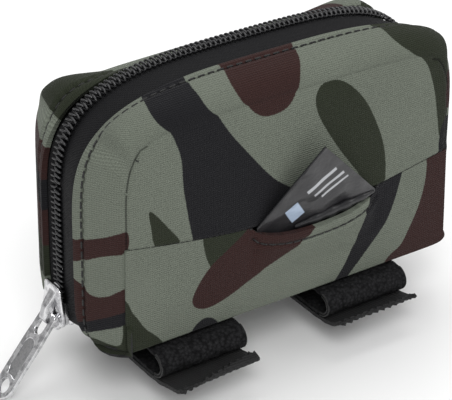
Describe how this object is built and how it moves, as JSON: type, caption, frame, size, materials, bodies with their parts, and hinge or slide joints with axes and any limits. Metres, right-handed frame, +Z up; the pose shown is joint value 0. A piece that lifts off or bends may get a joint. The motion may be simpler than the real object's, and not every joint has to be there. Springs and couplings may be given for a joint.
{
  "type": "dispenser pouch",
  "caption": "Padded zip pouch with a front slot that feeds bags from a roll, a zip with a pull tab, and two hook-and-loop strap loops under it.",
  "frame": {"origin": "centre of the flat underside of the pouch, on the line of the zip, where the lead or belt that carries it lies", "axes": "+X along the pouch to the right, -Y out of the front face with the slot, +Z up"},
  "size_m": [0.1278, 0.055, 0.0818],
  "materials": {
    "camo_fabric": "matt knit over foam",
    "zip_tape": "woven tape",
    "zip_coil": "satin",
    "zip_metal": "bright plated",
    "strap_webbing": "pile and hook webbing",
    "thread": "sewing thread",
    "bag_film": "thin film",
    "card_core": "card tube, stood in for by wood"
  },
  "bodies": {
    "root": {"back_panel": "camo_fabric", "back_left_gusset": "camo_fabric", "back_right_gusset": "camo_fabric", "bottom_panel": "camo_fabric", "back_zip_tape": "zip_tape", "back_zip_coil": "zip_coil", "zip_end_stop": "zip_metal", "left_strap_anchor": "strap_webbing", "right_strap_anchor": "strap_webbing"},
    "front_half": {"front_upper_panel": "camo_fabric", "front_lower_panel": "camo_fabric", "front_left_gusset": "camo_fabric", "front_right_gusset": "camo_fabric", "slot_hem": "camo_fabric", "slot_bar_tacks": "thread", "front_zip_tape": "zip_tape", "front_zip_coil": "zip_coil", "front_zip_tape_start": "zip_tape", "front_zip_coil_start": "zip_coil"},
    "slider": {"slider_body": "zip_metal", "slider_bridge": "zip_metal"},
    "pull_tab": {"pull_tab": "zip_metal"},
    "left_loop": {"left_loop_flap": "strap_webbing"},
    "right_loop": {"right_loop_flap": "strap_webbing"},
    "left_hook": {"left_hook_flap": "strap_webbing"},
    "right_hook": {"right_hook_flap": "strap_webbing"},
    "roll": {"bag_roll": "bag_film", "roll_core": "card_core"},
    "film": {"bag_film": "bag_film"}
  },
  "joints": [
    {"name": "front_opening", "type": "hinge", "parent": "root", "child": "front_half", "pos_m": [0, -0.0212, 0.0022], "axis": [1, 0, 0], "range_deg": [0, 60], "deforming": ["front_zip_tape_start", "front_zip_coil_start"]},
    {"name": "slider_travel", "type": "slide", "parent": "root", "child": "slider", "axis": [0, 0, 1], "range_m": [0, 0.026]},
    {"name": "tab_swing", "type": "hinge", "parent": "slider", "child": "pull_tab", "pos_m": [-0.0562, 0, 0.0032], "axis": [0, 1, 0], "range_deg": [-30, 95]},
    {"name": "left_hook_opening", "type": "hinge", "parent": "root", "child": "left_hook", "pos_m": [-0.0285, 0.01285, -0.0086], "axis": [1, 0, 0], "range_deg": [0, 100]},
    {"name": "left_loop_opening", "type": "hinge", "parent": "root", "child": "left_loop", "pos_m": [-0.0285, -0.02385, -0.007], "axis": [1, 0, 0], "range_deg": [-60, 0]},
    {"name": "right_hook_opening", "type": "hinge", "parent": "root", "child": "right_hook", "pos_m": [0.0215, 0.01285, -0.0086], "axis": [1, 0, 0], "range_deg": [0, 100]},
    {"name": "right_loop_opening", "type": "hinge", "parent": "root", "child": "right_loop", "pos_m": [0.0215, -0.02385, -0.007], "axis": [1, 0, 0], "range_deg": [-60, 0]},
    {"name": "bag_feed", "type": "slide", "parent": "front_half", "child": "film", "axis": [0, -0.2874, 0.9578], "range_m": [0, 0.015]},
    {"name": "roll_turn", "type": "hinge", "parent": "root", "child": "roll", "pos_m": [0, 0, 0.0158], "axis": [1, 0, 0], "range_deg": [-62, 0]}
  ],
  "couplings": [
    {"joint": "left_loop_opening", "follows": "left_hook_opening", "ratio": -0.6},
    {"joint": "right_loop_opening", "follows": "right_hook_opening", "ratio": -0.6},
    {"joint": "roll_turn", "follows": "bag_feed", "rad_per_m": -71.4}
  ]
}
